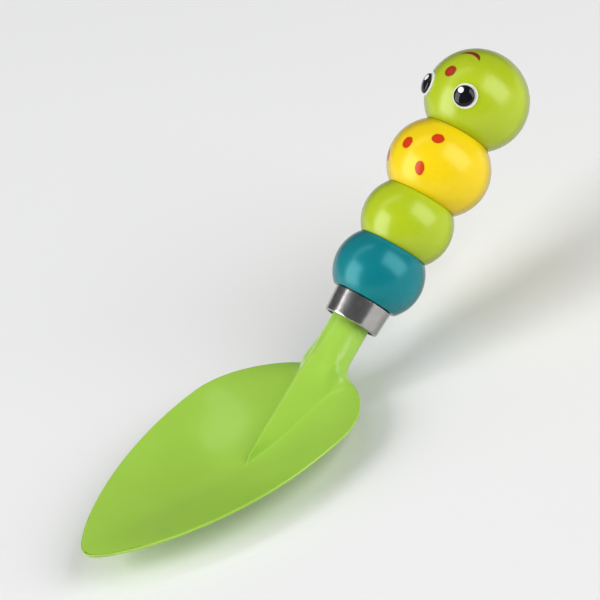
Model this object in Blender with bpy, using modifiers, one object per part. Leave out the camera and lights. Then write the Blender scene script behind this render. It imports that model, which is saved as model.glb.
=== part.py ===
"""A child's hand shovel: a pressed steel blade on a rod that carries turned beads as the handle.

Everything is first built with the blade's rim in the plane Z = 0 and the blade's tip at X = 0, the
handle leading away along +X and up. The whole shovel then moves so that the middle of its underside
is the origin.
"""
import math

import bmesh
import bpy
import numpy as np
from mathutils import Matrix, Vector, geometry

MM = 0.001

# Blade outline, seen from above
BLADE_LENGTH = 113 * MM
BLADE_WIDTH = 72.4 * MM
WIDEST_AT = 76 * MM
TIP_FULLNESS = 9.6 * MM
SIDE_FULLNESS = 41 * MM
SHOULDER_FULLNESS = 27.3 * MM
NOTCH_HALF_WIDTH = 10 * MM
NOTCH_SWEEP_X = 1 * MM
NOTCH_SWEEP_Y = 6.9 * MM

# Scoop, and the shoulders that droop behind it
SHEET = 1 * MM
SCOOP_DEPTH = 13 * MM
SCOOP_BOTTOM_ROUND = 3 * MM
DEEPEST_AT = 68 * MM
VALLEY_POWER = 1.7
SHOULDER_DROP = 3.9 * MM
SHOULDER_DROP_LENGTH = 36 * MM

# Swage, the raised roof that carries the neck down the blade: its crest, flanks and foot
CREST_AT_NECK = 10.65 * MM
CREST_ANGLE = math.radians(27.2)
CREST_ROUND = 1 * MM
CREST_ENDS_AT = 70 * MM
CREST_END_ROUND = 0.6 * MM
CREST_DROP_ANGLE = math.radians(55)
CREST_LAG_LENGTH = 34 * MM
FLANK_SLOPE = 1.02
FLANK_SLOPE_AT_NECK = 1.33
FLANK_SLOPE_AT_END = 6
FLANK_EVEN_AT = 86 * MM
FLANK_POWER_TO_END = 4
FLANK_POWER_TO_NECK = 2.5
SWAGE_FOOT_AT_END = 0.5 * MM
SWAGE_FOOT_AT_NECK = 1.2 * MM
SWAGE_SHARE_LIMIT = 0.6
NUB_HALF_WIDTH = 1.5 * MM

# Neck, a tube rolled from the same sheet, which opens into the swage's roof towards the notch
NECK_RADIUS = 7.2 * MM
NECK_FLARE = 2.6 * MM
NECK_FLARE_LENGTH = 14.5 * MM
NECK_FLARE_POWER = 1.3
NECK_FLARE_AT = math.radians(80)
NECK_FLARE_SPREAD = math.radians(56)
ROOF_HALF_ANGLE = math.radians(42)
ROOF_ROUND = math.radians(7)
ROOF_LENGTH = 13 * MM
NECK_RIB_REACH = 17 * MM
LEG_STARTS_AT = math.radians(86)
NECK_SEAM = 0.4 * MM
NECK_CLOSES_OVER = 7 * MM
NECK_PAST_LIP = 2 * MM

# Handle's axis
HANDLE_ANGLE = math.radians(29.3)
AXIS_MEETS_RIM_AT = 110.6 * MM
LIP_FROM_RIM = 18.4 * MM

# Ferrule, as distances from its lip along the handle
FERRULE_LENGTH = 9.5 * MM
FERRULE_LIP_RADIUS = 10.3 * MM
FERRULE_TOP_RADIUS = 10.9 * MM
FERRULE_WALL = 1 * MM
FERRULE_LIP_ROUND = 0.35 * MM
FERRULE_LIP_CUT = 0.3

# Beads: the widest radius, the half length that the whole ellipse would have, and the joint radii
TEAL_RADIUS = 16.7 * MM
TEAL_STRETCH = 16 * MM
GREEN_RADIUS = 16.8 * MM
GREEN_STRETCH = 16 * MM
YELLOW_RADIUS = 19 * MM
YELLOW_STRETCH = 17.6 * MM
HEAD_RADIUS = 19 * MM
HEAD_STRETCH = 18.5 * MM
FERRULE_JOINT_RADIUS = 12.3 * MM
TEAL_GREEN_JOINT_RADIUS = 13 * MM
GREEN_YELLOW_JOINT_RADIUS = 13.2 * MM
YELLOW_HEAD_JOINT_RADIUS = 12.4 * MM

# Rod and insert
ROD_RADIUS = 4 * MM
ROD_PLUG_LENGTH = 10 * MM
ROD_PAST_INSERT = 2 * MM
ROD_TIP_CHAMFER = 0.8 * MM
INSERT_RADIUS = 6 * MM
INSERT_LENGTH = 14 * MM

# Eyes, as shares of the head's radius, and how far the head is screwed round from upright
FACE_TURN = math.radians(1.8)
EYE_FORWARD = -0.2
EYE_ASIDE = 0.51
EYE_RADIUS = 3.8 * MM
EYE_HEIGHT = 1.6 * MM
EYE_STEM_RADIUS = 1.2 * MM
EYE_STEM_LENGTH = 6 * MM
EYE_RING_RADIUS = 4.5 * MM
EYE_RING_THICKNESS = 1 * MM
EYE_SEAT_DEPTH = 1.2 * MM
CUTTER_ABOVE_SEAT = 1.2 * MM

# Clearances and smoothness
FIT = 0.3 * MM
MERGE = 0.01 * MM
ROUND_STEPS = 40
SMALL_STEPS = 20
DOME_POINTS = 6
BEAD_POINTS = 11
SHARP_FROM = math.radians(35)
OUTLINE_POINTS = 100
BLADE_STATIONS = 34
FIRST_STATION = 1 * MM
STATION_GATHER = 1.5
NECK_STATIONS = 12
NECK_STATION_GROWTH = 1.4
HALF_RIB_POINTS = 17
FLANK_GATHER = 0.5
RIM_GATHER = 1.3
FOOT_SEARCH_STEPS = 20

HANDLE_DIRECTION = Vector((math.cos(HANDLE_ANGLE), 0, math.sin(HANDLE_ANGLE)))
HANDLE_UP = Vector((-math.sin(HANDLE_ANGLE), 0, math.cos(HANDLE_ANGLE)))
LIP_CENTER = Vector((AXIS_MEETS_RIM_AT, 0, 0)) + LIP_FROM_RIM * HANDLE_DIRECTION


def start_clean():
    for old in list(bpy.data.objects):
        bpy.data.objects.remove(old)


def new_collection(name):
    collection = bpy.data.collections.new(name)
    bpy.context.scene.collection.children.link(collection)
    return collection


def material(name, color, roughness, metallic=0.0):
    made = bpy.data.materials.new(name)
    made.use_nodes = True
    shader = made.node_tree.nodes["Principled BSDF"]
    shader.inputs["Base Color"].default_value = (*color, 1)
    shader.inputs["Roughness"].default_value = roughness
    shader.inputs["Metallic"].default_value = metallic
    return made


def smooth_step(value):
    t = min(max(value, 0), 1)
    return t * t * (3 - 2 * t)


def smooth_max(a, b, rounding):
    h = max(rounding - abs(a - b), 0) / rounding
    return max(a, b) + h * h * rounding / 4


def blend(start, end, share):
    return start + (end - start) * share


def turned(name, profile, collection, surface, steps=ROUND_STEPS):
    """Turns a profile of (radius, height) points, which runs down its outer side, into a solid."""
    mesh = bpy.data.meshes.new(name)
    points = [(radius, 0, height) for radius, height in profile]
    closed = profile[0][0] > 0
    edges = [(i, i + 1) for i in range(len(points) - 1)]
    if closed:
        edges.append((len(points) - 1, 0))
    mesh.from_pydata(points, edges, [])
    mesh.materials.append(surface)
    piece = bpy.data.objects.new(name, mesh)
    collection.objects.link(piece)
    screw = piece.modifiers.new("turned", "SCREW")
    screw.steps = steps
    screw.render_steps = steps
    screw.use_merge_vertices = True
    screw.merge_threshold = MERGE
    return piece


# The blade: outline, scoop and swage

def blade_outline(count):
    """Half the outline, as (x, y) points from the tip to the notch, closer towards the notch."""
    half = BLADE_WIDTH / 2
    spans = (
        ((0, 0), (0, TIP_FULLNESS), (WIDEST_AT - SIDE_FULLNESS, half), (WIDEST_AT, half)),
        (
            (WIDEST_AT, half),
            (WIDEST_AT + SHOULDER_FULLNESS, half),
            (BLADE_LENGTH - NOTCH_SWEEP_X, NOTCH_HALF_WIDTH + NOTCH_SWEEP_Y),
            (BLADE_LENGTH, NOTCH_HALF_WIDTH),
        ),
    )
    points = []
    for span in spans:
        corners = [Vector((x, y, 0)) for x, y in span]
        points += geometry.interpolate_bezier(*corners, OUTLINE_POINTS)
    path = np.array([(p.x, p.y) for p in points])
    run = np.concatenate([[0], np.cumsum(np.hypot(*np.diff(path, axis=0).T))])
    share = 1 - np.linspace(1, 0, count) ** STATION_GATHER
    even = blend(FIRST_STATION, run[-1], share)
    x = np.interp(even, run, path[:, 0])
    y = np.interp(even, run, path[:, 1])
    return list(zip(x.tolist(), y.tolist()))


def scoop_floor(x):
    """The height of the scoop's middle at x: a soft curve from the tip, then a straight rise."""
    front = -SCOOP_DEPTH * smooth_step(x / DEEPEST_AT)
    rear = -SCOOP_DEPTH * (BLADE_LENGTH - x) / (BLADE_LENGTH - DEEPEST_AT)
    return smooth_max(front, rear, SCOOP_BOTTOM_ROUND)


def rim_height(x):
    """The rim lies flat, and droops at the shoulders."""
    share = (x - BLADE_LENGTH + SHOULDER_DROP_LENGTH) / SHOULDER_DROP_LENGTH
    return -SHOULDER_DROP * smooth_step(share)


def crest_height(x):
    """The crest of the swage at x: a straight line that drops into the scoop at its end."""
    line = CREST_AT_NECK + (x - AXIS_MEETS_RIM_AT) * math.tan(CREST_ANGLE)
    end = CREST_AT_NECK + (CREST_ENDS_AT - AXIS_MEETS_RIM_AT) * math.tan(CREST_ANGLE)
    drop = end + (x - CREST_ENDS_AT) * math.tan(CREST_DROP_ANGLE)
    return -smooth_max(-line, -drop, CREST_END_ROUND)


def flank_slope(x):
    """How steep the swage's flanks are at x: steeper at both ends."""
    if x < FLANK_EVEN_AT:
        share = min((FLANK_EVEN_AT - x) / (FLANK_EVEN_AT - CREST_ENDS_AT), 1)
        return blend(FLANK_SLOPE, FLANK_SLOPE_AT_END, share ** FLANK_POWER_TO_END)
    share = (x - FLANK_EVEN_AT) / (AXIS_MEETS_RIM_AT - FLANK_EVEN_AT)
    return blend(FLANK_SLOPE, FLANK_SLOPE_AT_NECK, share ** FLANK_POWER_TO_NECK)


def scoop_height(x, y, half_width):
    return blend(scoop_floor(x), rim_height(x), (y / half_width) ** VALLEY_POWER)


def swage_height(x, y):
    """A roof with a narrow round crest and straight flanks."""
    return crest_height(x) - flank_slope(x) * (math.hypot(y, CREST_ROUND) - CREST_ROUND)


def blade_height(x, y, half_width):
    """The height of the blade's upper face over the rim's plane."""
    share = smooth_step((x - DEEPEST_AT) / (AXIS_MEETS_RIM_AT - DEEPEST_AT))
    foot_round = blend(SWAGE_FOOT_AT_END, SWAGE_FOOT_AT_NECK, share)
    return smooth_max(scoop_height(x, y, half_width), swage_height(x, y), foot_round)


def swage_foot(x, half_width):
    """Half the width of the swage where it meets the scoop at x."""
    low = 0
    high = half_width
    for _ in range(FOOT_SEARCH_STEPS):
        middle = (low + high) / 2
        if swage_height(x, middle) > scoop_height(x, middle, half_width):
            low = middle
        else:
            high = middle
    return low


def rib_spacing(v, x, half_width):
    """Where a rib's point v (0 at the middle, 1 at the rim) lies: v = 0.5 follows the swage's foot."""
    foot = swage_foot(x, half_width) if x > DEEPEST_AT else 0
    fan = blend(half_width / 2, NUB_HALF_WIDTH, min(x / DEEPEST_AT, 1))
    halfway = min(max(foot, fan), SWAGE_SHARE_LIMIT * half_width)
    if v > 0.5:
        return blend(halfway, half_width, (v * 2 - 1) ** RIM_GATHER)
    return halfway * blend(2 * v, smooth_step(2 * v), FLANK_GATHER)


def blade_rib(rim_x, half_width):
    """One rib of the blade, from the middle to the rim, bent back at the shoulders."""
    share = (rim_x - BLADE_LENGTH + CREST_LAG_LENGTH) / CREST_LAG_LENGTH
    lag = (BLADE_LENGTH - neck_rib(BLADE_LENGTH, NOTCH_HALF_WIDTH)[0].x) * smooth_step(share)
    rib = []
    for v in np.linspace(0, 1, HALF_RIB_POINTS):
        x = rim_x - lag * (1 - v ** 2)
        y = rib_spacing(v, x, half_width)
        rib.append(Vector((x, y, blade_height(x, y, half_width))))
    if rim_x < WIDEST_AT:
        return rib
    share = smooth_step(1 - (half_width - NOTCH_HALF_WIDTH) / NECK_RIB_REACH)
    return [blend(a, b, share) for a, b in zip(rib, neck_rib(rim_x, half_width))]


def neck_ring(along, turn):
    """Half a ring of the neck's tube, from its top through an angle, at a distance from the lip.

    Towards the notch its top rises to the swage's crest like a roof, and its sides flare.
    """
    center = LIP_CENTER + along * HANDLE_DIRECTION
    past_notch = along - notch_along()
    roof = blend(ROOF_HALF_ANGLE, ROOF_ROUND, min(max(past_notch / ROOF_LENGTH, 0), 1))
    flare = NECK_FLARE * (1 - min(max(past_notch / NECK_FLARE_LENGTH, 0), 1)) ** NECK_FLARE_POWER
    ring = []
    for angle in np.linspace(0, turn, HALF_RIB_POINTS).tolist():
        side = smooth_step(1 - abs(angle - NECK_FLARE_AT) / NECK_FLARE_SPREAD)
        slant = max(roof - math.hypot(angle, ROOF_ROUND), 0)
        radius = NECK_RADIUS / math.cos(slant) + flare * side
        ring.append(center + radius * (math.sin(angle) * Vector((0, 1, 0)) + math.cos(angle) * HANDLE_UP))
    return ring


def notch_along():
    """How far the notch lies from the ferrule's lip, along the handle."""
    notch = Vector((BLADE_LENGTH, 0, -SHOULDER_DROP))
    return (notch - LIP_CENTER).dot(HANDLE_DIRECTION)


def neck_rib(rim_x, half_width):
    """A rib that is round over the neck, then runs straight to a point of the outline."""
    along = notch_along() + (rim_x - BLADE_LENGTH) / math.cos(HANDLE_ANGLE)
    top = neck_ring(along, math.pi)
    rim = Vector((rim_x, half_width, rim_height(rim_x)))
    bend = int(HALF_RIB_POINTS * LEG_STARTS_AT / math.pi)
    leg = np.linspace(0, 1, HALF_RIB_POINTS - bend)
    return top[:bend] + [blend(top[bend], rim, share) for share in leg]


def blade_ribs():
    """All the half ribs, from the tip to the neck's end."""
    outline = blade_outline(BLADE_STATIONS)
    ribs = [blade_rib(x, y) for x, y in outline]
    last = ribs[-1]
    start = notch_along()
    for step in range(1, NECK_STATIONS + 1):
        along = blend(start, NECK_PAST_LIP, (step / NECK_STATIONS) ** NECK_STATION_GROWTH)
        closed = 1 - max(1 - (along - start) / NECK_CLOSES_OVER, 0) ** 2
        ring = neck_ring(along, math.pi - NECK_SEAM / 2 / NECK_RADIUS)
        moved = [point + (along - start) * HANDLE_DIRECTION for point in last]
        ribs.append([blend(a, b, closed) for a, b in zip(moved, ring)])
    return ribs


def build_blade(collection):
    surface = material("lime_paint", (0.38, 0.62, 0.08), 0.3)
    bm = bmesh.new()
    rows = []
    for rib in blade_ribs():
        far = [bm.verts.new(point) for point in rib]
        near = [bm.verts.new((point.x, -point.y, point.z)) for point in rib[1:]]
        rows.append(near[::-1] + far)
    for row, following in zip(rows, rows[1:]):
        for i in range(len(row) - 1):
            bm.faces.new((row[i], following[i], following[i + 1], row[i + 1]))
    for face in bm.faces:
        face.smooth = True
    mesh = bpy.data.meshes.new("blade")
    bm.to_mesh(mesh)
    bm.free()
    mesh.materials.append(surface)
    blade = bpy.data.objects.new("blade", mesh)
    collection.objects.link(blade)
    shell = blade.modifiers.new("sheet", "SOLIDIFY")
    shell.thickness = SHEET
    shell.offset = -1
    shell.use_even_offset = True
    return blade


# The handle: every piece is turned about its own Z, which is then laid along the handle

def bead_reach(radius, stretch, joint_radius):
    """From a bead's middle to the joint where it has that radius."""
    return stretch * math.sqrt(1 - (joint_radius / radius) ** 2)


def bead_side(radius, stretch, top, bottom):
    """The bead's side as (radius, height) points about its middle, from the top joint down."""
    high = math.acos(bead_reach(radius, stretch, top) / stretch) if top else 0
    low = math.pi - math.acos(bead_reach(radius, stretch, bottom) / stretch)
    angles = np.linspace(high, low, BEAD_POINTS)
    return [(radius * math.sin(a), stretch * math.cos(a)) for a in angles]


def build_ferrule(collection):
    surface = material("chrome", (0.75, 0.75, 0.74), 0.12, 1)
    lip = FERRULE_LIP_RADIUS
    top = FERRULE_TOP_RADIUS
    soft = FERRULE_LIP_ROUND
    profile = [
        (top, FERRULE_LENGTH),
        (lip, soft),
        (lip - FERRULE_LIP_CUT * soft, FERRULE_LIP_CUT * soft),
        (lip - soft, 0),
        (lip - FERRULE_WALL, 0),
        (top - FERRULE_WALL, FERRULE_LENGTH),
    ]
    return turned("ferrule", profile, collection, surface)


def build_teal_bead(collection, middle, bore):
    surface = material("teal_lacquer", (0.006, 0.21, 0.25), 0.15)
    side = bead_side(TEAL_RADIUS, TEAL_STRETCH, TEAL_GREEN_JOINT_RADIUS, FERRULE_JOINT_RADIUS)
    side = [(radius, height + middle) for radius, height in side]
    bottom = side[-1][1]
    spigot_end = NECK_PAST_LIP + FIT
    taper = (FERRULE_TOP_RADIUS - FERRULE_LIP_RADIUS) * (1 - spigot_end / FERRULE_LENGTH)
    spigot_top = FERRULE_TOP_RADIUS - FERRULE_WALL - FIT
    profile = side + [
        (spigot_top, bottom),
        (spigot_top - taper, spigot_end),
        (bore, spigot_end),
        (bore, side[0][1]),
    ]
    return turned("teal_bead", profile, collection, surface)


def build_middle_bead(name, size, joints, middle, bore, surface, collection):
    side = [(radius, height + middle) for radius, height in bead_side(*size, *joints)]
    profile = side + [(bore, side[-1][1]), (bore, side[0][1])]
    return turned(name, profile, collection, surface)


def build_head_bead(collection, middle, bore, bore_end):
    """The head: a ball with a blind bore that is wider where the insert sits."""
    surface = material("head_lacquer", (0.42, 0.55, 0.02), 0.15)
    side = bead_side(HEAD_RADIUS, HEAD_STRETCH, 0, YELLOW_HEAD_JOINT_RADIUS)
    side = [(radius, height + middle) for radius, height in side]
    bottom = side[-1][1]
    seat = INSERT_RADIUS + FIT
    shoulder = bottom + INSERT_LENGTH + FIT
    profile = [(0, side[0][1])] + side[1:] + [
        (seat, bottom),
        (seat, shoulder),
        (bore, shoulder),
        (bore, bore_end),
        (0, bore_end),
    ]
    return turned("head_bead", profile, collection, surface)


def build_tang_rod(collection, rod_end):
    surface = material("steel", (0.5, 0.5, 0.5), 0.35, 1)
    plug = NECK_RADIUS - SHEET - FIT
    profile = [
        (0, rod_end),
        (ROD_RADIUS - ROD_TIP_CHAMFER, rod_end),
        (ROD_RADIUS, rod_end - ROD_TIP_CHAMFER),
        (ROD_RADIUS, NECK_PAST_LIP),
        (plug, NECK_PAST_LIP),
        (plug, NECK_PAST_LIP - ROD_PLUG_LENGTH),
        (0, NECK_PAST_LIP - ROD_PLUG_LENGTH),
    ]
    return turned("tang_rod", profile, collection, surface, SMALL_STEPS)


def build_insert(collection, bottom, bore):
    surface = material("brass", (0.6, 0.42, 0.15), 0.35, 1)
    top = bottom + INSERT_LENGTH
    profile = [(INSERT_RADIUS, top), (INSERT_RADIUS, bottom), (bore, bottom), (bore, top)]
    return turned("threaded_insert", profile, collection, surface, SMALL_STEPS)


# The eyes: a white disc in a shallow seat, and a black dome whose stem goes through it

def eye_frame(side, middle):
    """The place of an eye's seat on the head, its Z pointing out. Side is 1 for left, -1 for right."""
    up = math.sqrt(1 - EYE_FORWARD ** 2 - EYE_ASIDE ** 2)
    upright = EYE_FORWARD * HANDLE_DIRECTION + side * EYE_ASIDE * Vector((0, 1, 0)) + up * HANDLE_UP
    out = Matrix.Rotation(FACE_TURN, 3, HANDLE_DIRECTION) @ upright
    head = LIP_CENTER + middle * HANDLE_DIRECTION
    place = out.to_track_quat("Z", "Y").to_matrix().to_4x4()
    place.translation = head + (HEAD_RADIUS - EYE_SEAT_DEPTH) * out
    return place


def cut(piece, cutter, cutters):
    for collection in list(cutter.users_collection):
        collection.objects.unlink(cutter)
    cutters.objects.link(cutter)
    cutter.hide_render = True
    cutter.display_type = "WIRE"
    boolean = piece.modifiers.new(cutter.name, "BOOLEAN")
    boolean.operation = "DIFFERENCE"
    boolean.object = cutter


def build_eye(name, side, middle, head, collection, cutters, black, white):
    place = eye_frame(side, middle)
    seat_radius = EYE_RING_RADIUS + FIT
    hole_radius = EYE_STEM_RADIUS + FIT
    hole_end = -EYE_STEM_LENGTH - FIT
    drill = [
        (0, EYE_SEAT_DEPTH + CUTTER_ABOVE_SEAT),
        (seat_radius, EYE_SEAT_DEPTH + CUTTER_ABOVE_SEAT),
        (seat_radius, 0),
        (hole_radius, 0),
        (hole_radius, hole_end),
        (0, hole_end),
    ]
    drill_piece = turned(name + "_seat_cutter", drill, collection, white, SMALL_STEPS)
    drill_piece.matrix_world = place
    cut(head, drill_piece, cutters)
    ring_bottom = FIT
    ring_top = ring_bottom + EYE_RING_THICKNESS
    ring = [
        (EYE_RING_RADIUS, ring_top),
        (EYE_RING_RADIUS, ring_bottom),
        (hole_radius, ring_bottom),
        (hole_radius, ring_top),
    ]
    ring_piece = turned(name + "_ring", ring, collection, white, SMALL_STEPS)
    ring_piece.matrix_world = place
    base = ring_top + FIT
    dome = []
    for angle in np.linspace(0, math.pi / 2, DOME_POINTS):
        dome.append((EYE_RADIUS * math.sin(angle), base + EYE_HEIGHT * math.cos(angle)))
    stem = [(EYE_STEM_RADIUS, base), (EYE_STEM_RADIUS, -EYE_STEM_LENGTH), (0, -EYE_STEM_LENGTH)]
    eye_piece = turned(name, dome + stem, collection, black, SMALL_STEPS)
    eye_piece.matrix_world = place
    return [ring_piece, eye_piece]


def build_handle(collection, cutters):
    """Every piece on the handle's axis, stacked from the ferrule's top."""
    bore = ROD_RADIUS + FIT
    teal = FERRULE_LENGTH + FIT + bead_reach(TEAL_RADIUS, TEAL_STRETCH, FERRULE_JOINT_RADIUS)
    teal_top = teal + bead_reach(TEAL_RADIUS, TEAL_STRETCH, TEAL_GREEN_JOINT_RADIUS)
    green = teal_top + FIT + bead_reach(GREEN_RADIUS, GREEN_STRETCH, TEAL_GREEN_JOINT_RADIUS)
    green_top = green + bead_reach(GREEN_RADIUS, GREEN_STRETCH, GREEN_YELLOW_JOINT_RADIUS)
    yellow = green_top + FIT + bead_reach(YELLOW_RADIUS, YELLOW_STRETCH, GREEN_YELLOW_JOINT_RADIUS)
    yellow_top = yellow + bead_reach(YELLOW_RADIUS, YELLOW_STRETCH, YELLOW_HEAD_JOINT_RADIUS)
    head_bottom = yellow_top + FIT
    head = head_bottom + bead_reach(HEAD_RADIUS, HEAD_STRETCH, YELLOW_HEAD_JOINT_RADIUS)
    rod_end = head_bottom + INSERT_LENGTH + ROD_PAST_INSERT
    green_size = (GREEN_RADIUS, GREEN_STRETCH)
    green_joints = (GREEN_YELLOW_JOINT_RADIUS, TEAL_GREEN_JOINT_RADIUS)
    green_coat = material("green_lacquer", (0.42, 0.55, 0.02), 0.15)
    yellow_size = (YELLOW_RADIUS, YELLOW_STRETCH)
    yellow_joints = (YELLOW_HEAD_JOINT_RADIUS, GREEN_YELLOW_JOINT_RADIUS)
    yellow_coat = material("yellow_lacquer", (0.86, 0.65, 0.01), 0.15)
    head_piece = build_head_bead(collection, head, bore, rod_end + FIT)
    pieces = [
        build_ferrule(collection),
        build_teal_bead(collection, teal, bore),
        build_middle_bead("green_bead", green_size, green_joints, green, bore, green_coat, collection),
        build_middle_bead("yellow_bead", yellow_size, yellow_joints, yellow, bore, yellow_coat, collection),
        head_piece,
        build_tang_rod(collection, rod_end),
        build_insert(collection, head_bottom, bore),
    ]
    turn = Matrix.Rotation(math.pi / 2 - HANDLE_ANGLE, 4, "Y")
    for piece in pieces:
        piece.matrix_world = Matrix.Translation(LIP_CENTER) @ turn
    black = material("eye_black", (0.004, 0.004, 0.006), 0.08)
    white = material("eye_white", (0.8, 0.8, 0.78), 0.25)
    bpy.context.view_layer.update()
    for name, side in (("left_eye", 1), ("right_eye", -1)):
        pieces += build_eye(name, side, head, head_piece, collection, cutters, black, white)
    return pieces


def shade(piece):
    piece.data.shade_smooth()
    piece.data.set_sharp_from_angle(angle=SHARP_FROM)


def stand_on_origin(pieces, cutters):
    """Moves the whole shovel so that the middle of its bounding box's underside is the origin."""
    bpy.context.view_layer.update()
    graph = bpy.context.evaluated_depsgraph_get()
    corners = []
    for piece in pieces:
        made = piece.evaluated_get(graph)
        corners += [made.matrix_world @ vertex.co for vertex in made.to_mesh().vertices]
        made.to_mesh_clear()
    low = [min(corner[i] for corner in corners) for i in range(3)]
    high = [max(corner[i] for corner in corners) for i in range(3)]
    shift = Matrix.Translation((-(low[0] + high[0]) / 2, -(low[1] + high[1]) / 2, -low[2]))
    for moved in pieces + list(cutters.objects):
        moved.matrix_world = shift @ moved.matrix_world
    bpy.context.view_layer.update()


def main():
    start_clean()
    collection = new_collection("hand_shovel")
    cutters = new_collection("cutters")
    pieces = [build_blade(collection)] + build_handle(collection, cutters)
    for piece in pieces:
        shade(piece)
    stand_on_origin(pieces, cutters)


main()
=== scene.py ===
import math
from functools import partial

import bmesh
import bpy
import numpy as np
from mathutils import Matrix, Vector, geometry


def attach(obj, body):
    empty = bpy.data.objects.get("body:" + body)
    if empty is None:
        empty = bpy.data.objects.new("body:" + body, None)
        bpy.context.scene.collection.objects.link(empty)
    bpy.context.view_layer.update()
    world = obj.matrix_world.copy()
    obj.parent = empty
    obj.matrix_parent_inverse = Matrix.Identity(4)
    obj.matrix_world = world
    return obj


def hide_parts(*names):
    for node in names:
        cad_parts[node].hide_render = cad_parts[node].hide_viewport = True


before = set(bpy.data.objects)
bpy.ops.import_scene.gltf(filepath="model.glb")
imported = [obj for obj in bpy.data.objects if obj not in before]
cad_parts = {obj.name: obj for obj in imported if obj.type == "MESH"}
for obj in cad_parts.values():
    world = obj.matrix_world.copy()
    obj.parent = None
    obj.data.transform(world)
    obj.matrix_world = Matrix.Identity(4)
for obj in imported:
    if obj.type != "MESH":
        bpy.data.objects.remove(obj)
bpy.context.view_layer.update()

MM = 0.001

# The view: a long lens from above, on the side of the blade's tip, rolled so that the handle points up
# and to the right, as in the photograph.
CAMERA_AT = Vector((-0.34238, -0.64794, 0.52043))
CAMERA_RIGHT = Vector((0.73556, -0.60749, -0.29986))
CAMERA_UP = Vector((0.55375, 0.28414, 0.78271))
SENSOR_WIDTH = 36
LENS = 150.9


def turned_to(x_way, y_way, z_way):
    """The turn that brings the axes to these ways."""
    return Matrix((x_way, y_way, z_way)).transposed().to_4x4()


camera = bpy.data.objects.new("camera", bpy.data.cameras.new("camera"))
bpy.context.scene.collection.objects.link(camera)
camera_turn = turned_to(CAMERA_RIGHT, CAMERA_UP, CAMERA_RIGHT.cross(CAMERA_UP))
camera.matrix_world = Matrix.Translation(CAMERA_AT) @ camera_turn
camera.data.sensor_width = SENSOR_WIDTH
camera.data.lens = LENS
bpy.context.scene.camera = camera
bpy.context.scene.view_settings.view_transform = "Standard"

# The studio: a pale floor, a dim grey room, and three soft boxes. Two tall ones stand left and right of
# the camera and show in the lacquer as broad pale patches. The third is a weaker strip above the beads.
FLOOR_HALF = 20.0
FLOOR_GREY = (0.86, 0.86, 0.86)
FLOOR_ROUGHNESS = 0.9
ROOM_LIGHT = (0.97, 0.98, 1.0)
ROOM_STRENGTH = 0.14

studio = bpy.data.worlds.new("studio")
bpy.context.scene.world = studio
studio.use_nodes = True
room = studio.node_tree.nodes["Background"]
room.inputs["Color"].default_value = (*ROOM_LIGHT, 1)
room.inputs["Strength"].default_value = ROOM_STRENGTH

floor_mesh = bpy.data.meshes.new("floor")
corners = ((-1, -1), (1, -1), (1, 1), (-1, 1))
floor_mesh.from_pydata([(x * FLOOR_HALF, y * FLOOR_HALF, 0) for x, y in corners], [], [(0, 1, 2, 3)])
floor = bpy.data.objects.new("floor", floor_mesh)
bpy.context.scene.collection.objects.link(floor)
floor_paper = bpy.data.materials.new("floor_paper")
floor_paper.use_nodes = True
paper_shader = floor_paper.node_tree.nodes["Principled BSDF"]
paper_shader.inputs["Base Color"].default_value = (*FLOOR_GREY, 1)
paper_shader.inputs["Roughness"].default_value = FLOOR_ROUGHNESS
floor_mesh.materials.append(floor_paper)

BOX_DISTANCE = 3.0
SHOVEL_MIDDLE = Vector((0.0, 0.0, 0.04))
# Each box has the way to it, the way that its width runs, its width and height, and its power.
SOFT_BOXES = {
    "right_box": ((0.406, -0.774, 0.486), (0.89, 0.46, 0.0), (2.2, 3.2), 88),
    "left_box": ((-0.85, 0.318, 0.422), (0.35, 0.94, 0.0), (2.1, 3.0), 100),
    "top_strip": ((-0.07, 0.36, 0.93), (0.707, -0.337, 0.206), (2.7, 0.6), 10),
}

for name, (direction, wide_way, (width, height), power) in SOFT_BOXES.items():
    light = bpy.data.lights.new(name, "AREA")
    light.shape = "RECTANGLE"
    light.size = width
    light.size_y = height
    light.energy = power
    box = bpy.data.objects.new(name, light)
    toward = Vector(direction).normalized()
    tall_way = toward.cross(Vector(wide_way)).normalized()
    turn = turned_to(tall_way.cross(toward), tall_way, toward)
    box.matrix_world = Matrix.Translation(SHOVEL_MIDDLE + BOX_DISTANCE * toward) @ turn
    bpy.context.scene.collection.objects.link(box)

# The blade: one pressed steel sheet, painted gloss lime. It is a dished scoop with a raised swage down its
# middle, and the same sheet rolls into the neck's tube, whose seam is underneath.
TIP = Vector((-112.612, 0, 13.586)) * MM
BLADE_LENGTH = 113 * MM
BLADE_WIDTH = 72.4 * MM
WIDEST_AT = 76 * MM
TIP_FULLNESS = 9.6 * MM
SIDE_FULLNESS = 41 * MM
SHOULDER_FULLNESS = 27.3 * MM
NOTCH_HALF_WIDTH = 10 * MM
NOTCH_SWEEP_X = 1 * MM
NOTCH_SWEEP_Y = 6.9 * MM
SHEET = 1 * MM
SHEET_EDGE_ROUND = 0.4 * MM
EDGE_SEGMENTS = 3
CUT_EDGE_ANGLE = math.radians(60)
UNDER_CREST = 2 * MM
SCOOP_DEPTH = 13 * MM
SCOOP_BOTTOM_ROUND = 3 * MM
DEEPEST_AT = 68 * MM
VALLEY_POWER = 1.7
SHOULDER_DROP = 3.9 * MM
SHOULDER_DROP_LENGTH = 36 * MM
CREST_AT_NECK = 10.65 * MM
CREST_ANGLE = math.radians(27.2)
CREST_ROUND = 1 * MM
CREST_ENDS_AT = 70 * MM
CREST_END_ROUND = 0.6 * MM
CREST_DROP_ANGLE = math.radians(55)
FLANK_SLOPE = 1.02
FLANK_SLOPE_AT_NECK = 1.33
FLANK_SLOPE_AT_END = 6
FLANK_EVEN_AT = 86 * MM
FLANK_POWER_TO_END = 4
FLANK_POWER_TO_NECK = 2.5
SWAGE_FOOT_AT_END = 0.5 * MM
SWAGE_FOOT_AT_NECK = 1.2 * MM
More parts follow.
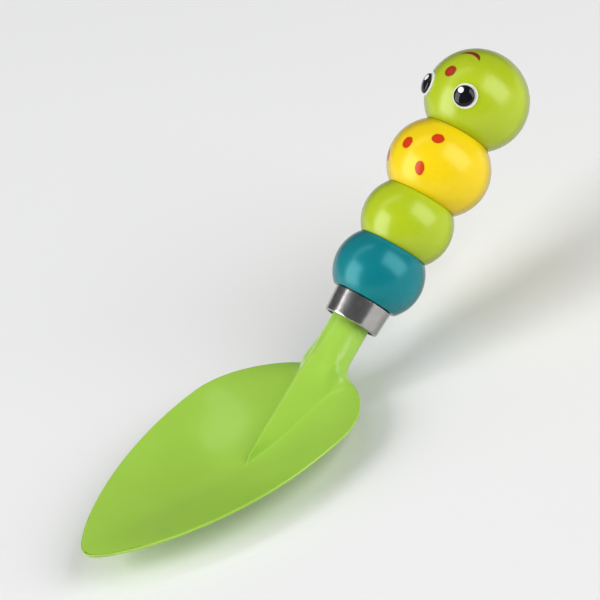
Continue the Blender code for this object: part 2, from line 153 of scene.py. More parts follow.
NUB_HALF_WIDTH = 1.5 * MM
SWAGE_SHARE_LIMIT = 0.6
CREST_LAG_LENGTH = 34 * MM
NECK_RIB_REACH = 17 * MM
LEG_STARTS_AT = math.radians(86)
NECK_RADIUS = 7.2 * MM
NECK_FLARE = 2.6 * MM
NECK_FLARE_LENGTH = 14.5 * MM
NECK_FLARE_POWER = 1.3
NECK_FLARE_AT = math.radians(80)
NECK_FLARE_SPREAD = math.radians(56)
ROOF_HALF_ANGLE = math.radians(42)
ROOF_ROUND = math.radians(7)
ROOF_LENGTH = 13 * MM
NECK_SEAM = 0.4 * MM
NECK_CLOSES_OVER = 7 * MM
NECK_PAST_LIP = 2 * MM
HANDLE_ANGLE = math.radians(29.3)
AXIS_MEETS_RIM_AT = 110.6 * MM
LIP_FROM_RIM = 18.4 * MM
BLADE_STATIONS = 120
FIRST_STATION = 0.3 * MM
STATION_GATHER = 1.5
NECK_STATIONS = 36
NECK_STATION_GROWTH = 1.4
HALF_RIB_POINTS = 49
RELAXED_WITHIN = 9 * MM
RELAX_STEPS = 60
RELAX_SHARE = 0.5
FLANK_GATHER = 0.5
RIM_GATHER = 1.3
FOOT_SEARCH_STEPS = 20
OUTLINE_POINTS = 300

HANDLE_DIRECTION = Vector((math.cos(HANDLE_ANGLE), 0, math.sin(HANDLE_ANGLE)))
HANDLE_UP = Vector((-math.sin(HANDLE_ANGLE), 0, math.cos(HANDLE_ANGLE)))
LIP_CENTER = Vector((AXIS_MEETS_RIM_AT, 0, 0)) + LIP_FROM_RIM * HANDLE_DIRECTION


def smooth_step(value):
    """From 0 to 1, with a soft start and a soft end."""
    t = min(max(value, 0), 1)
    return t * t * (3 - 2 * t)


def smooth_max(a, b, rounding):
    """The greater of two heights, with the crease between them rounded."""
    h = max(rounding - abs(a - b), 0) / rounding
    return max(a, b) + h * h * rounding / 4


def blend(start, end, share):
    return start + (end - start) * share


def blade_outline(count):
    """Half the outline, as (x, y) points from the tip to the notch, closer towards the notch."""
    half = BLADE_WIDTH / 2
    spans = (
        ((0, 0), (0, TIP_FULLNESS), (WIDEST_AT - SIDE_FULLNESS, half), (WIDEST_AT, half)),
        (
            (WIDEST_AT, half),
            (WIDEST_AT + SHOULDER_FULLNESS, half),
            (BLADE_LENGTH - NOTCH_SWEEP_X, NOTCH_HALF_WIDTH + NOTCH_SWEEP_Y),
            (BLADE_LENGTH, NOTCH_HALF_WIDTH),
        ),
    )
    points = []
    for span in spans:
        knots = [Vector((x, y, 0)) for x, y in span]
        points += geometry.interpolate_bezier(*knots, OUTLINE_POINTS)
    path = np.array([(p.x, p.y) for p in points])
    run = np.concatenate([[0], np.cumsum(np.hypot(*np.diff(path, axis=0).T))])
    share = 1 - np.linspace(1, 0, count) ** STATION_GATHER
    even = blend(FIRST_STATION, run[-1], share)
    x = np.interp(even, run, path[:, 0])
    y = np.interp(even, run, path[:, 1])
    return list(zip(x.tolist(), y.tolist()))


def scoop_floor(x):
    """The height of the scoop's middle at x: a soft curve from the tip, then a straight rise."""
    front = -SCOOP_DEPTH * smooth_step(x / DEEPEST_AT)
    rear = -SCOOP_DEPTH * (BLADE_LENGTH - x) / (BLADE_LENGTH - DEEPEST_AT)
    return smooth_max(front, rear, SCOOP_BOTTOM_ROUND)


def rim_height(x):
    """The rim lies flat, and droops at the shoulders."""
    share = (x - BLADE_LENGTH + SHOULDER_DROP_LENGTH) / SHOULDER_DROP_LENGTH
    return -SHOULDER_DROP * smooth_step(share)


def crest_height(x):
    """The crest of the swage at x: a straight line that drops into the scoop at its end."""
    line = CREST_AT_NECK + (x - AXIS_MEETS_RIM_AT) * math.tan(CREST_ANGLE)
    end = CREST_AT_NECK + (CREST_ENDS_AT - AXIS_MEETS_RIM_AT) * math.tan(CREST_ANGLE)
    drop = end + (x - CREST_ENDS_AT) * math.tan(CREST_DROP_ANGLE)
    return -smooth_max(-line, -drop, CREST_END_ROUND)


def flank_slope(x):
    """How steep the swage's flanks are at x: steeper at both ends."""
    if x < FLANK_EVEN_AT:
        share = min((FLANK_EVEN_AT - x) / (FLANK_EVEN_AT - CREST_ENDS_AT), 1)
        return blend(FLANK_SLOPE, FLANK_SLOPE_AT_END, share ** FLANK_POWER_TO_END)
    share = (x - FLANK_EVEN_AT) / (AXIS_MEETS_RIM_AT - FLANK_EVEN_AT)
    return blend(FLANK_SLOPE, FLANK_SLOPE_AT_NECK, share ** FLANK_POWER_TO_NECK)


def scoop_height(x, y, half_width):
    """The dished face by itself: a valley from the scoop's floor up to the rim."""
    return blend(scoop_floor(x), rim_height(x), (y / half_width) ** VALLEY_POWER)


def swage_height(x, y):
    """A roof with a narrow round crest and straight flanks."""
    return crest_height(x) - flank_slope(x) * (math.hypot(y, CREST_ROUND) - CREST_ROUND)


def blade_height(x, y, half_width):
    """The height of the blade's upper face over the rim's plane."""
    share = smooth_step((x - DEEPEST_AT) / (AXIS_MEETS_RIM_AT - DEEPEST_AT))
    foot_round = blend(SWAGE_FOOT_AT_END, SWAGE_FOOT_AT_NECK, share)
    return smooth_max(scoop_height(x, y, half_width), swage_height(x, y), foot_round)


def swage_foot(x, half_width):
    """Half the width of the swage where it meets the scoop at x."""
    low = 0
    high = half_width
    for _ in range(FOOT_SEARCH_STEPS):
        middle = (low + high) / 2
        if swage_height(x, middle) > scoop_height(x, middle, half_width):
            low = middle
        else:
            high = middle
    return low


def rib_spacing(v, x, half_width):
    """Where a rib's point v (0 at the middle, 1 at the rim) lies: v = 0.5 follows the swage's foot."""
    foot = swage_foot(x, half_width) if x > DEEPEST_AT else 0
    fan = blend(half_width / 2, NUB_HALF_WIDTH, min(x / DEEPEST_AT, 1))
    halfway = min(max(foot, fan), SWAGE_SHARE_LIMIT * half_width)
    if v > 0.5:
        return blend(halfway, half_width, (v * 2 - 1) ** RIM_GATHER)
    return halfway * blend(2 * v, smooth_step(2 * v), FLANK_GATHER)


def neck_ring(along, turn):
    """Half a ring of the neck's tube, from its top through an angle, at a distance from the lip.

    Towards the notch its top rises to the swage's crest like a roof, and its sides flare.
    """
    center = LIP_CENTER + along * HANDLE_DIRECTION
    past_notch = along - notch_along()
    roof = blend(ROOF_HALF_ANGLE, ROOF_ROUND, min(max(past_notch / ROOF_LENGTH, 0), 1))
    flare = NECK_FLARE * (1 - min(max(past_notch / NECK_FLARE_LENGTH, 0), 1)) ** NECK_FLARE_POWER
    ring = []
    for angle in np.linspace(0, turn, HALF_RIB_POINTS).tolist():
        side = smooth_step(1 - abs(angle - NECK_FLARE_AT) / NECK_FLARE_SPREAD)
        slant = max(roof - math.hypot(angle, ROOF_ROUND), 0)
        radius = NECK_RADIUS / math.cos(slant) + flare * side
        ring.append(center + radius * (math.sin(angle) * Vector((0, 1, 0)) + math.cos(angle) * HANDLE_UP))
    return ring


def notch_along():
    """How far the notch lies from the ferrule's lip, along the handle."""
    notch = Vector((BLADE_LENGTH, 0, -SHOULDER_DROP))
    return (notch - LIP_CENTER).dot(HANDLE_DIRECTION)


def neck_rib(rim_x, half_width):
    """A rib that is round over the neck, then runs straight to a point of the outline."""
    along = notch_along() + (rim_x - BLADE_LENGTH) / math.cos(HANDLE_ANGLE)
    top = neck_ring(along, math.pi)
    rim = Vector((rim_x, half_width, rim_height(rim_x)))
    bend = int(HALF_RIB_POINTS * LEG_STARTS_AT / math.pi)
    leg = np.linspace(0, 1, HALF_RIB_POINTS - bend)
    return top[:bend] + [blend(top[bend], rim, share) for share in leg]


def blade_rib(rim_x, half_width):
    """One rib of the blade, from the middle to the rim, bent back at the shoulders."""
    share = (rim_x - BLADE_LENGTH + CREST_LAG_LENGTH) / CREST_LAG_LENGTH
    lag = (BLADE_LENGTH - neck_rib(BLADE_LENGTH, NOTCH_HALF_WIDTH)[0].x) * smooth_step(share)
    rib = []
    for v in np.linspace(0, 1, HALF_RIB_POINTS):
        x = rim_x - lag * (1 - v ** 2)
        y = rib_spacing(v, x, half_width)
        rib.append(Vector((x, y, blade_height(x, y, half_width))))
    if rim_x < WIDEST_AT:
        return rib
    share = smooth_step(1 - (half_width - NOTCH_HALF_WIDTH) / NECK_RIB_REACH)
    return [blend(a, b, share) for a, b in zip(rib, neck_rib(rim_x, half_width))]


def blade_ribs():
    """All the half ribs, from the tip to the neck's end."""
    ribs = [blade_rib(x, y) for x, y in blade_outline(BLADE_STATIONS)]
    last = ribs[-1]
    start = notch_along()
    for step in range(1, NECK_STATIONS + 1):
        along = blend(start, NECK_PAST_LIP, (step / NECK_STATIONS) ** NECK_STATION_GROWTH)
        closed = 1 - max(1 - (along - start) / NECK_CLOSES_OVER, 0) ** 2
        ring = neck_ring(along, math.pi - NECK_SEAM / 2 / NECK_RADIUS)
        moved = [point + (along - start) * HANDLE_DIRECTION for point in last]
        ribs.append([blend(a, b, closed) for a, b in zip(moved, ring)])
    return ribs


def new_piece(name, mesh, material, slot, *nodes):
    """A finished mesh as a piece of the shovel that stands for the named CAD nodes."""
    mesh.materials.clear()
    mesh.materials.append(material)
    mesh.shade_smooth()
    piece = bpy.data.objects.new(name, mesh)
    bpy.context.scene.collection.objects.link(piece)
    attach(piece, "root")
    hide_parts(*nodes)
    return piece


def new_material(name):
    """A new material, with its node tree and its shader."""
    material = bpy.data.materials.new(name)
    material.use_nodes = True
    tree = material.node_tree
    return material, tree, tree.nodes["Principled BSDF"]


def feed(socket, value):
    """Links a socket to a value that is a socket itself, or sets it to any other value."""
    if isinstance(value, bpy.types.NodeSocket):
        socket.id_data.links.new(value, socket)
    else:
        socket.default_value = value


def set_up(node, **values):
    """Feeds a node's sockets by their names."""
    for name, value in values.items():
        feed(node.inputs[name.replace("_", " ")], value)
    return node


def object_noise(tree, scale, detail=2.0, stretch=(1, 1, 1), turn=(0, 0, 0)):
    """Noise in object space, stretched along a turned frame."""
    place = tree.nodes.new("ShaderNodeTexCoord").outputs["Object"]
    mapping = tree.nodes.new("ShaderNodeMapping")
    mapping.vector_type = "TEXTURE"
    set_up(mapping, Vector=place, Rotation=turn, Scale=stretch)
    noise = tree.nodes.new("ShaderNodeTexNoise")
    set_up(noise, Vector=mapping.outputs["Vector"], Scale=scale, Detail=detail)
    return noise.outputs["Fac"]


def ranged(tree, value, low, high, from_low=0.2, from_high=0.8):
    """A value mapped to a range. The defaults suit a noise, which seldom leaves 0.2 to 0.8."""
    node = tree.nodes.new("ShaderNodeMapRange")
    set_up(node, Value=value, From_Min=from_low, From_Max=from_high, To_Min=low, To_Max=high)
    return node.outputs["Result"]


def mixed(tree, factor, first, second):
    """A colour between two, by a factor."""
    node = tree.nodes.new("ShaderNodeMix")
    node.data_type = "RGBA"
    feed(node.inputs[0], factor)
    for socket, color in ((node.inputs[6], first), (node.inputs[7], second)):
        feed(socket, color if isinstance(color, bpy.types.NodeSocket) else (*color, 1))
    return node.outputs[2]


def bumped(tree, height, distance):
    """A normal that follows a height, which is too fine for the mesh."""
    node = tree.nodes.new("ShaderNodeBump")
    set_up(node, Height=height, Distance=distance, Strength=1.0)
    return node.outputs["Normal"]


LIME = (0.36, 0.61, 0.075)
LIME_DEEP = (0.32, 0.56, 0.06)

lime_paint, tree, shader = new_material("lime_paint")
cloudy = object_noise(tree, scale=45)
flow = object_noise(tree, scale=420, detail=1)
set_up(
    shader,
    Base_Color=mixed(tree, ranged(tree, cloudy, 0, 1), LIME_DEEP, LIME),
    Roughness=ranged(tree, cloudy, 0.3, 0.38),
    Specular_IOR_Level=0.12,
    Normal=bumped(tree, flow, distance=0.01 * MM),
    Coat_Weight=0.45,
    Coat_Roughness=0.17,
)


def blade_face():
    """The sheet's upper face: the half ribs, mirrored, with quads between them."""
    face = bmesh.new()
    rows = []
    for rib in blade_ribs():
        far = [face.verts.new(TIP + point) for point in rib]
        near = [face.verts.new(TIP + Vector((point.x, -point.y, point.z))) for point in rib[1:]]
        rows.append(near[::-1] + far)
    for row, following in zip(rows, rows[1:]):
        for i in range(len(row) - 1):
            face.faces.new((row[i], following[i], following[i + 1], row[i + 1]))
    return face


def relax_notch(face):
    """Smooths the face where the shoulders meet the neck, as the press leaves it."""
    notch = TIP + Vector((BLADE_LENGTH, NOTCH_HALF_WIDTH, -SHOULDER_DROP))
    creased = []
    for vert in face.verts:
        on_far_side = Vector((vert.co.x, abs(vert.co.y), vert.co.z))
        if (on_far_side - notch).length < RELAXED_WITHIN and not vert.is_boundary:
            creased.append(vert)
    for _ in range(RELAX_STEPS):
        bmesh.ops.smooth_vert(
            face, verts=creased, factor=RELAX_SHARE, use_axis_x=True, use_axis_y=True, use_axis_z=True
        )


def plain_mesh(maker):
    """The mesh that an object's modifier gives. The object goes."""
    bpy.context.view_layer.update()
    graph = bpy.context.evaluated_depsgraph_get()
    mesh = bpy.data.meshes.new_from_object(maker.evaluated_get(graph))
    bpy.data.objects.remove(maker)
    return mesh


def thickened(face):
    """The face's plain mesh once it has the sheet's thickness, which lies below it."""
    mesh = bpy.data.meshes.new("blade_face")
    face.to_mesh(mesh)
    face.free()
    maker = bpy.data.objects.new("blade_maker", mesh)
    bpy.context.scene.collection.objects.link(maker)
    sheet = maker.modifiers.new("sheet", "SOLIDIFY")
    sheet.thickness = SHEET
    sheet.offset = -1
    sheet.use_even_offset = True
    return plain_mesh(maker)


def round_cut_edges(mesh):
    """Rounds the edges where the sheet is cut: the rim, the seam and the neck's end.

    The fold under the swage's crest is as sharp, but it isn't cut, so it stays as it is.
    """
    skin = bmesh.new()
    skin.from_mesh(mesh)
    cut_edges = []
    for edge in skin.edges:
        middle = (edge.verts[0].co + edge.verts[1].co) / 2 - TIP
        under_crest = abs(middle.y) < UNDER_CREST and DEEPEST_AT < middle.x < BLADE_LENGTH
        if edge.calc_face_angle() > CUT_EDGE_ANGLE and not under_crest:
            cut_edges.append(edge)
    bmesh.ops.bevel(
        skin, geom=cut_edges, offset=SHEET_EDGE_ROUND, segments=EDGE_SEGMENTS, profile=0.5, affect="EDGES"
    )
    skin.to_mesh(mesh)
    skin.free()


upper_face = blade_face()
relax_notch(upper_face)
blade_mesh = thickened(upper_face)
round_cut_edges(blade_mesh)
new_piece("blade_skin", blade_mesh, lime_paint, "lime_paint", "blade")

# The ferrule: a chromed steel cup, slightly conical, whose open end has a rounded lip. Its other end holds
# the first bead's spigot.
FERRULE_LENGTH = 9.5 * MM
FERRULE_LIP_RADIUS = 10.3 * MM
FERRULE_TOP_RADIUS = 10.9 * MM
FERRULE_WALL = 1 * MM
FERRULE_LIP_ROUND = 0.7 * MM
FERRULE_INNER_ROUND = 0.25 * MM
FERRULE_SIDE_SHARES = (0.12, 0.5, 0.95)
FERRULE_TOP_ROUND = 0.2 * MM
ROUND_STEPS = 128
CORNER_STEPS = 6
MERGE_DISTANCE = 0.001 * MM
CHROME_DARK = (0.42, 0.405, 0.4)
CHROME_LIGHT = (0.52, 0.505, 0.5)

HANDLE_PLACE = Matrix.Translation(TIP + LIP_CENTER) @ Matrix.Rotation(math.pi / 2 - HANDLE_ANGLE, 4, "Y")
HANDLE_TURN = tuple(HANDLE_PLACE.to_euler())


def rounded(corner, radius, before, after):
    """Points of a round corner of a profile, between the ways that come in and go out."""
    corner = Vector(corner)
    way_in = (Vector(before) - corner).normalized()
    way_out = (Vector(after) - corner).normalized()
    half = way_in.angle(way_out) / 2
    center = corner + (way_in + way_out).normalized() * (radius / math.sin(half))
    start = corner + way_in * (radius / math.tan(half)) - center
    end = corner + way_out * (radius / math.tan(half)) - center
    turn = start.angle_signed(end)
    points = []
    for share in np.linspace(0, 1, CORNER_STEPS):
        angle = -turn * share
        points.append((
            center.x + start.x * math.cos(angle) - start.y * math.sin(angle),
            center.y + start.x * math.sin(angle) + start.y * math.cos(angle),
        ))
    return points


def turned(name, profile, place, steps=ROUND_STEPS):
    """Spins a profile of (radius, height) points into a mesh, and puts it in its place."""
    spun = bmesh.new()
    verts = [spun.verts.new((radius, 0, height)) for radius, height in profile]
    edges = [spun.edges.new(pair) for pair in zip(verts, verts[1:])]
    if profile[0][0] > 0:
        edges.append(spun.edges.new((verts[-1], verts[0])))
    bmesh.ops.spin(
        spun, geom=verts + edges, axis=(0, 0, 1), cent=(0, 0, 0), angle=math.tau, steps=steps, use_merge=True
    )
    bmesh.ops.remove_doubles(spun, verts=spun.verts, dist=MERGE_DISTANCE)
    bmesh.ops.recalc_face_normals(spun, faces=spun.faces)
    mesh = bpy.data.meshes.new(name)
    spun.to_mesh(mesh)
    spun.free()
    mesh.transform(place)
    return mesh


chrome, tree, shader = new_material("chrome")
brushed = object_noise(tree, scale=900, detail=3, stretch=(1, 1, 0.08), turn=HANDLE_TURN)
clouded = object_noise(tree, scale=300)
set_up(
    shader,
    Base_Color=mixed(tree, ranged(tree, clouded, 0, 1), CHROME_DARK, CHROME_LIGHT),
    Metallic=1.0,
    Roughness=ranged(tree, clouded, 0.18, 0.24),
    Normal=bumped(tree, brushed, distance=0.004 * MM),
)

outer_lip = (FERRULE_LIP_RADIUS, 0)
inner_lip = (FERRULE_LIP_RADIUS - FERRULE_WALL, 0)
outer_top = (FERRULE_TOP_RADIUS, FERRULE_LENGTH)
inner_top = (FERRULE_TOP_RADIUS - FERRULE_WALL, FERRULE_LENGTH)
outer_side = [Vector(outer_lip).lerp(outer_top, share).to_tuple() for share in FERRULE_SIDE_SHARES]
ferrule_profile = (
    rounded(outer_top, FERRULE_TOP_ROUND, inner_top, outer_lip)
    + outer_side[::-1]
    + rounded(outer_lip, FERRULE_LIP_ROUND, outer_top, inner_lip)
    + rounded(inner_lip, FERRULE_INNER_ROUND, outer_lip, inner_top)
    + [inner_top]
)
ferrule_mesh = turned("ferrule_cup", ferrule_profile, HANDLE_PLACE)
new_piece("ferrule_cup", ferrule_mesh, chrome, "chrome", "ferrule")

# The beads: turned wood in gloss lacquer, drilled through and clamped end to end on the rod. Each is a ball
# cut flat where it meets its neighbour. The first has a spigot that fills the ferrule.
FIT = 0.3 * MM
TEAL_RADIUS = 16.7 * MM
TEAL_STRETCH = 16 * MM
GREEN_RADIUS = 16.8 * MM
GREEN_STRETCH = 16 * MM
YELLOW_RADIUS = 19 * MM
YELLOW_STRETCH = 17.6 * MM
FERRULE_JOINT_RADIUS = 12.3 * MM
TEAL_GREEN_JOINT_RADIUS = 13 * MM
GREEN_YELLOW_JOINT_RADIUS = 13.2 * MM
YELLOW_HEAD_JOINT_RADIUS = 12.4 * MM
ROD_RADIUS = 4 * MM
BORE_RADIUS = ROD_RADIUS + FIT
BEAD_CREASE = 0.05 * MM
BEAD_EDGE_ROUND = 0.14 * MM
BEAD_EDGE_ANGLE = math.radians(30)
BEAD_RINGS = 72
END_RINGS = 3
TEAL = (0.004, 0.2, 0.235)
TEAL_DEEP = (0.003, 0.175, 0.21)
TEAL_GLOSS = (0.3, 0.92, 1.0)
GREEN = (0.44, 0.56, 0.012)
GREEN_DEEP = (0.4, 0.52, 0.01)
GREEN_GLOSS = (0.95, 1.0, 0.75)
YELLOW = (0.87, 0.64, 0.006)
YELLOW_DEEP = (0.83, 0.59, 0.005)
YELLOW_GLOSS = (0.85, 0.8, 0.45)
# How dark the painted shade gets where a bead is seen at a slant, at its outline.
PAINTED_SHADE_DEPTH = 0.7


def reach(radius, stretch, joint_radius):
    """From a bead's middle to the joint where it has that radius."""
    return stretch * math.sqrt(1 - (joint_radius / radius) ** 2)


TEAL_AT = FERRULE_LENGTH + FIT + reach(TEAL_RADIUS, TEAL_STRETCH, FERRULE_JOINT_RADIUS)
TEAL_TOP = TEAL_AT + reach(TEAL_RADIUS, TEAL_STRETCH, TEAL_GREEN_JOINT_RADIUS)
GREEN_AT = TEAL_TOP + FIT + reach(GREEN_RADIUS, GREEN_STRETCH, TEAL_GREEN_JOINT_RADIUS)
GREEN_TOP = GREEN_AT + reach(GREEN_RADIUS, GREEN_STRETCH, GREEN_YELLOW_JOINT_RADIUS)
YELLOW_AT = GREEN_TOP + FIT + reach(YELLOW_RADIUS, YELLOW_STRETCH, GREEN_YELLOW_JOINT_RADIUS)
YELLOW_TOP = YELLOW_AT + reach(YELLOW_RADIUS, YELLOW_STRETCH, YELLOW_HEAD_JOINT_RADIUS)


def crease_radius(radius, stretch, joint_radius):
    """The radius where a bead ends once the lacquer has filled the joint, but for a thin crease."""
    height = reach(radius, stretch, joint_radius) + (FIT - BEAD_CREASE) / 2
    return radius * math.sqrt(1 - (height / stretch) ** 2)


def math_node(tree, operation, *values, clamp=False):
    """What a math node makes of its values."""
    node = tree.nodes.new("ShaderNodeMath")
    node.operation = operation
    node.use_clamp = clamp
    for socket, value in zip(node.inputs, values):
        feed(socket, value)
    return node.outputs[0]


def choose(tree, switch, when_false, when_true):
    """One of two lengths, by a switch."""
    node = tree.nodes.new("GeometryNodeSwitch")
    node.input_type = "FLOAT"
    feed(node.inputs["Switch"], switch)
    feed(node.inputs["False"], when_false)
    feed(node.inputs["True"], when_true)
    return node.outputs["Output"]


def bead_tree():
    """A Geometry Nodes tree that bends a grid into a ball with flat ends and a bore.

    The grid's rows run down the ball's side, then in to the bore and up it. The last row goes out to the
    first one again or, where the bore is blind, in to the axis.
    """
    tree = bpy.data.node_groups.new("drilled_bead", "GeometryNodeTree")
    for name in ("Radius", "Half length", "Top joint", "Bottom joint", "Bore", "Bore end", "Closing radius"):
        socket = tree.interface.new_socket(name, in_out="INPUT", socket_type="NodeSocketFloat")
        socket.min_value = 0 if name != "Bore end" else -1
    tree.interface.new_socket("Lacquer", in_out="INPUT", socket_type="NodeSocketMaterial")
    tree.interface.new_socket("Geometry", in_out="OUTPUT", socket_type="NodeSocketGeometry")
    given = tree.nodes.new("NodeGroupInput").outputs
    work = partial(math_node, tree)
    rows = BEAD_RINGS + END_RINGS
    sheet = tree.nodes.new("GeometryNodeMeshGrid")
    set_up(sheet, Size_X=1.0, Size_Y=1.0, Vertices_X=ROUND_STEPS + 1, Vertices_Y=rows)
    split = tree.nodes.new("ShaderNodeSeparateXYZ")
    feed(split.inputs[0], tree.nodes.new("GeometryNodeInputPosition").outputs[0])
    around = work("MULTIPLY", work("ADD", split.outputs["X"], 0.5), math.tau)
    row = work("ROUND", work("MULTIPLY", work("ADD", split.outputs["Y"], 0.5), rows - 1))
    down = work("MINIMUM", work("DIVIDE", row, BEAD_RINGS - 1), 1)
    past = work("SUBTRACT", row, BEAD_RINGS - 1)
    top_angle = work("ARCSINE", work("DIVIDE", given["Top joint"], given["Radius"]))
    low_angle = work("ARCSINE", work("DIVIDE", given["Bottom joint"], given["Radius"]))
    sweep = work("SUBTRACT", work("SUBTRACT", math.pi, low_angle), top_angle)
    angle = work("ADD", top_angle, work("MULTIPLY", sweep, down))
    side_radius = work("MULTIPLY", given["Radius"], work("SINE", angle))
    side_height = work("MULTIPLY", given["Half length"], work("COSINE", angle))
    # Past the side's last row come the bore's mouth, the bore's end, and the row that closes the mesh.
    in_bore = work("GREATER_THAN", past, 0.5)
    at_bore_end = work("GREATER_THAN", past, 1.5)
    closing = work("GREATER_THAN", past, 2.5)
    radius = choose(tree, in_bore, side_radius, given["Bore"])
    radius = choose(tree, closing, radius, given["Closing radius"])
    height = choose(tree, at_bore_end, side_height, given["Bore end"])
    point = tree.nodes.new("ShaderNodeCombineXYZ")
    x = work("MULTIPLY", radius, work("COSINE", around))
    y = work("MULTIPLY", radius, work("SINE", around))
    set_up(point, X=x, Y=y, Z=height)
    bend = tree.nodes.new("GeometryNodeSetPosition")
    set_up(bend, Geometry=sheet.outputs["Mesh"], Position=point.outputs[0])
    merge = tree.nodes.new("GeometryNodeMergeByDistance")
    set_up(merge, Geometry=bend.outputs[0], Distance=MERGE_DISTANCE)
    realize = tree.nodes.new("GeometryNodeRealizeInstances")
    set_up(realize, Geometry=merge.outputs[0])
    lacquered = tree.nodes.new("GeometryNodeSetMaterial")
    set_up(lacquered, Geometry=realize.outputs[0], Material=given["Lacquer"])
    feed(tree.nodes.new("NodeGroupOutput").inputs[0], lacquered.outputs[0])
    return tree


BEAD_TREE = bead_tree()


def bead_mesh(name, middle, lacquer, **sizes):
    """A bead's plain mesh, in its place on the handle, made by the tree with these sizes."""
    maker = bpy.data.objects.new(name + "_maker", bpy.data.meshes.new(name + "_maker"))
    bpy.context.scene.collection.objects.link(maker)
    modifier = maker.modifiers.new("bead", "NODES")
    modifier.node_group = BEAD_TREE
    for item in BEAD_TREE.interface.items_tree:
        if item.in_out == "INPUT" and item.name == "Lacquer":
            modifier[item.identifier] = lacquer
        elif item.in_out == "INPUT":
            modifier[item.identifier] = sizes[item.name.lower().replace(" ", "_")]
    mesh = plain_mesh(maker)
    mesh.name = name
    clean = bmesh.new()
    clean.from_mesh(mesh)
    bmesh.ops.recalc_face_normals(clean, faces=clean.faces)
    clean.to_mesh(mesh)
    clean.free()
    mesh.transform(HANDLE_PLACE @ Matrix.Translation((0, 0, middle)))
    return mesh


def soften(piece):
    """Rounds a bead's sharp turned edges, which the lacquer fills."""
    soft = piece.modifiers.new("edges", "BEVEL")
    soft.width = BEAD_EDGE_ROUND
    soft.segments = EDGE_SEGMENTS
    soft.limit_method = "ANGLE"
    soft.angle_limit = BEAD_EDGE_ANGLE


def drilled(name, middle, radius, stretch, top_joint, bottom_joint, lacquer, slot, *nodes):
    """A bead that the rod runs right through, as a finished piece."""
    top = crease_radius(radius, stretch, top_joint)
    bottom = crease_radius(radius, stretch, bottom_joint)
    mesh = bead_mesh(
        name, middle, lacquer,
        radius=radius, half_length=stretch, top_joint=top, bottom_joint=bottom,
        bore=BORE_RADIUS, bore_end=reach(radius, stretch, top), closing_radius=top,
    )
    piece = new_piece(name, mesh, lacquer, slot, *nodes)
    soften(piece)
    return piece


def with_painted_shade(tree, color):
    """A lacquer's colour with painted shade: darker where it is seen at a slant, towards the outline."""
    slant = set_up(tree.nodes.new("ShaderNodeLayerWeight"), Blend=0.5)
    painted_shade_mask = ranged(tree, slant.outputs["Facing"], 0, PAINTED_SHADE_DEPTH, from_low=0.5, from_high=1)
    return mixed(tree, painted_shade_mask, color, (0, 0, 0))


def lacquer(name, color, deep, gloss_tint):
    """Gloss lacquer over fine sanded wood: the grain shows only as a faint ripple along the bead.

    Its colour tints the gloss, and it has painted shade where the bead is seen at a slant.
    """
    material, tree, shader = new_material(name)
    grain = object_noise(tree, scale=500, detail=3, stretch=(1, 1, 7), turn=HANDLE_TURN)
    cloudy = object_noise(tree, scale=60)
    body = mixed(tree, ranged(tree, cloudy, 0, 1), deep, color)
    # The base colour carries painted shade where the bead is seen at a slant.
    set_up(
        shader,
        Base_Color=with_painted_shade(tree, body),
        Roughness=ranged(tree, cloudy, 0.24, 0.29),
        Specular_IOR_Level=0.55,
        Specular_Tint=(*gloss_tint, 1),
        Normal=bumped(tree, grain, distance=0.005 * MM),
        Coat_Weight=0.05,
        Coat_Roughness=0.12,
    )
    return material, tree, shader


teal_lacquer, _, _ = lacquer("teal_lacquer", TEAL, TEAL_DEEP, TEAL_GLOSS)
green_lacquer, _, _ = lacquer("green_lacquer", GREEN, GREEN_DEEP, GREEN_GLOSS)
yellow_lacquer, yellow_tree, yellow_shader = lacquer("yellow_lacquer", YELLOW, YELLOW_DEEP, YELLOW_GLOSS)

spigot_end = NECK_PAST_LIP + FIT
spigot_top = FERRULE_TOP_RADIUS - FERRULE_WALL - FIT
spigot_taper = (FERRULE_TOP_RADIUS - FERRULE_LIP_RADIUS) * (1 - spigot_end / FERRULE_LENGTH)
teal_profile = []
teal_high = math.asin(crease_radius(TEAL_RADIUS, TEAL_STRETCH, TEAL_GREEN_JOINT_RADIUS) / TEAL_RADIUS)
teal_low = math.pi - math.asin(FERRULE_JOINT_RADIUS / TEAL_RADIUS)
for angle in np.linspace(teal_high, teal_low, BEAD_RINGS):
    teal_profile.append((TEAL_RADIUS * math.sin(angle), TEAL_AT + TEAL_STRETCH * math.cos(angle)))
teal_profile += [
    (spigot_top, teal_profile[-1][1]),
    (spigot_top - spigot_taper, spigot_end),
    (BORE_RADIUS, spigot_end),
    (BORE_RADIUS, teal_profile[0][1]),
]
teal = new_piece(
    "teal_ball", turned("teal_ball", teal_profile, HANDLE_PLACE), teal_lacquer, "teal_lacquer", "teal_bead"
)
soften(teal)
drilled(
    "green_ball", GREEN_AT, GREEN_RADIUS, GREEN_STRETCH, GREEN_YELLOW_JOINT_RADIUS, TEAL_GREEN_JOINT_RADIUS,
    green_lacquer, "green_lacquer", "green_bead",
)
drilled(
    "yellow_ball", YELLOW_AT, YELLOW_RADIUS, YELLOW_STRETCH, YELLOW_HEAD_JOINT_RADIUS,
    GREEN_YELLOW_JOINT_RADIUS, yellow_lacquer, "yellow_lacquer", "yellow_bead",
)

# The spots on the yellow bead: dabs of red lacquer about 4 mm across, under the same gloss. They are put on
# by hand, so each is an oval of its own with a slightly ragged, darker edge.
SPOT_RED = (0.66, 0.035, 0.004)
SPOT_RIM = (0.45, 0.02, 0.003)
SPOT_CENTER_SHARE = 0.8
SPOT_DEPTH = 6 * MM
# Each spot has its place forward and aside on the bead, its half lengths, and the way that the first runs.
SPOTS = (
    ((0.025, 0.015), (2.3 * MM, 2.15 * MM), (0, 0, 1)),
    ((0.36, -0.46), (2.3 * MM, 2 * MM), (0.94, -0.52, 0.35)),
    ((-0.34, -0.44), (2.5 * MM, 1.8 * MM), (-0.06, 0.34, 1.16)),
    ((-0.31, 0.53), (2.2 * MM, 2 * MM), (0, 0, 1)),
)


